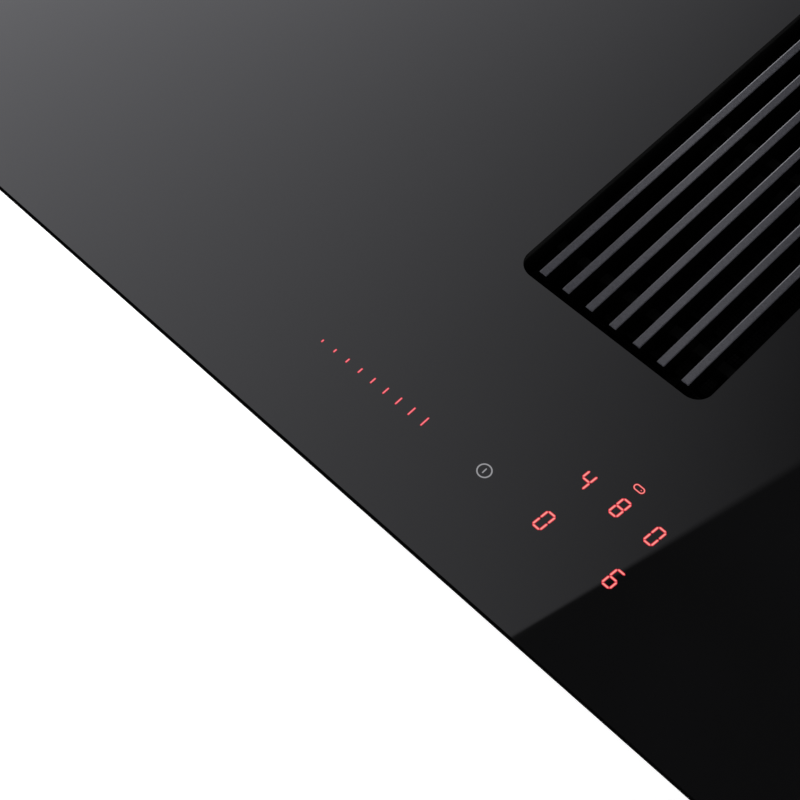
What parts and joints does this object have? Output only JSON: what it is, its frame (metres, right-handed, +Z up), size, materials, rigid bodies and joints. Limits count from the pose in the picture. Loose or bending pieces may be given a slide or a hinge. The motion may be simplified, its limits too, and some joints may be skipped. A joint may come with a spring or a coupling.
{
  "type": "downdraft cooktop",
  "caption": "Built-in induction hob with a black glass top, a central lift-out bar grille over a grease filter, and a downdraft fan and duct outlet underneath.",
  "frame": {"origin": "centre of the worktop plane, on the underside of the seal under the glass", "axes": "+X to the user's right, +Y to the back of the worktop, +Z up"},
  "size_m": [0.83, 0.515, 0.22],
  "materials": {
    "black_glass": "polished opaque black glass-ceramic",
    "seal_foam": "closed-cell foam rubber, matt black",
    "bar_aluminium": "dark anodised, ground top face with fine cross grain",
    "black_metal": "matt black powder coat",
    "filter_mesh": "black coated expanded metal",
    "tray_plastic": "moulded black plastic",
    "housing_plastic": "moulded black plastic, fine spark grain",
    "impeller_plastic": "moulded grey plastic",
    "shaft_steel": "ground steel",
    "motor_alloy": "die-cast alloy",
    "tray_steel": "galvanised sheet steel",
    "clip_steel": "spring steel",
    "carrier_aluminium": "mill finish sheet",
    "ferrite": "sintered ferrite",
    "former_plastic": "moulded heat-proof plastic",
    "copper_wire": "enamelled copper litz",
    "sensor_ceramic": "white ceramic",
    "standoff_plastic": "natural nylon",
    "circuit_board": "green solder mask",
    "sink_aluminium": "extruded, plain",
    "fan_plastic": "moulded black plastic",
    "display_plastic": "dark display body",
    "light_guide": "diffusing white plastic",
    "terminal_plastic": "moulded black plastic",
    "gland_plastic": "moulded nylon"
  },
  "bodies": {
    "housing": {"base_tray": "tray_steel", "board_standoffs": "standoff_plastic", "cable_gland": "gland_plastic", "coil_carrier_left": "carrier_aluminium", "coil_carrier_right": "carrier_aluminium", "coil_ferrites_left": "ferrite", "coil_ferrites_right": "ferrite", "coil_former_front_left": "former_plastic", "coil_former_front_right": "former_plastic", "coil_former_rear_left": "former_plastic", "coil_former_rear_right": "former_plastic", "coil_sensors": "sensor_ceramic", "coil_winding_front_left": "copper_wire", "coil_winding_front_right": "copper_wire", "coil_winding_rear_left": "copper_wire", "coil_winding_rear_right": "copper_wire", "control_board": "circuit_board", "control_holder": "former_plastic", "cooling_fan_frame_left": "fan_plastic", "cooling_fan_frame_right": "fan_plastic", "display_modules": "display_plastic", "edge_seal": "seal_foam", "fan_inlet_plate": "housing_plastic", "fan_motor": "motor_alloy", "fan_scroll": "housing_plastic", "glass_top": "black_glass", "heat_sink_left": "sink_aluminium", "heat_sink_right": "sink_aluminium", "inlet_collar": "black_metal", "inlet_gasket": "seal_foam", "motor_dampers": "seal_foam", "outlet_spigot": "housing_plastic", "plenum_tub": "housing_plastic", "power_board_left": "circuit_board", "power_board_right": "circuit_board", "power_light_guide": "light_guide", "slider_light_guide": "light_guide", "suction_cover": "housing_plastic", "terminal_box": "terminal_plastic", "terminal_lid": "terminal_plastic", "worktop_clips": "clip_steel"},
    "drip_tray": {"drip_tray": "tray_plastic"},
    "grease_filter": {"filter_frame": "black_metal", "filter_mesh": "filter_mesh", "filter_strap": "black_metal"},
    "grille": {"grille_bar_1": "bar_aluminium", "grille_bar_2": "bar_aluminium", "grille_bar_3": "bar_aluminium", "grille_bar_4": "bar_aluminium", "grille_bar_5": "bar_aluminium", "grille_bar_6": "bar_aluminium", "grille_bar_7": "bar_aluminium", "grille_rail_front": "black_metal", "grille_rail_middle": "black_metal", "grille_rail_rear": "black_metal"},
    "fan_rotor": {"impeller": "impeller_plastic", "fan_shaft": "shaft_steel"},
    "cooling_rotor_left": {"cooling_fan_rotor_left": "fan_plastic"},
    "cooling_rotor_right": {"cooling_fan_rotor_right": "fan_plastic"}
  },
  "joints": [
    {"name": "tray_lift", "type": "slide", "parent": "housing", "child": "drip_tray", "axis": [0, 0, 1], "range_m": [0, 0.235]},
    {"name": "filter_lift", "type": "slide", "parent": "drip_tray", "child": "grease_filter", "axis": [0, 0, 1], "range_m": [0, 0.12]},
    {"name": "grille_lift", "type": "slide", "parent": "grease_filter", "child": "grille", "axis": [0, 0, 1], "range_m": [0, 0.06]},
    {"name": "fan_spin", "type": "hinge", "parent": "housing", "child": "fan_rotor", "pos_m": [0.2041, 0.0551, -0.17], "axis": [0, 0, 1], "continuous": true},
    {"name": "cooling_left_spin", "type": "hinge", "parent": "housing", "child": "cooling_rotor_left", "pos_m": [-0.2405, 0.104, -0.04], "axis": [0, 0, 1], "continuous": true},
    {"name": "cooling_right_spin", "type": "hinge", "parent": "housing", "child": "cooling_rotor_right", "pos_m": [0.2405, 0.104, -0.04], "axis": [0, 0, 1], "continuous": true}
  ]
}
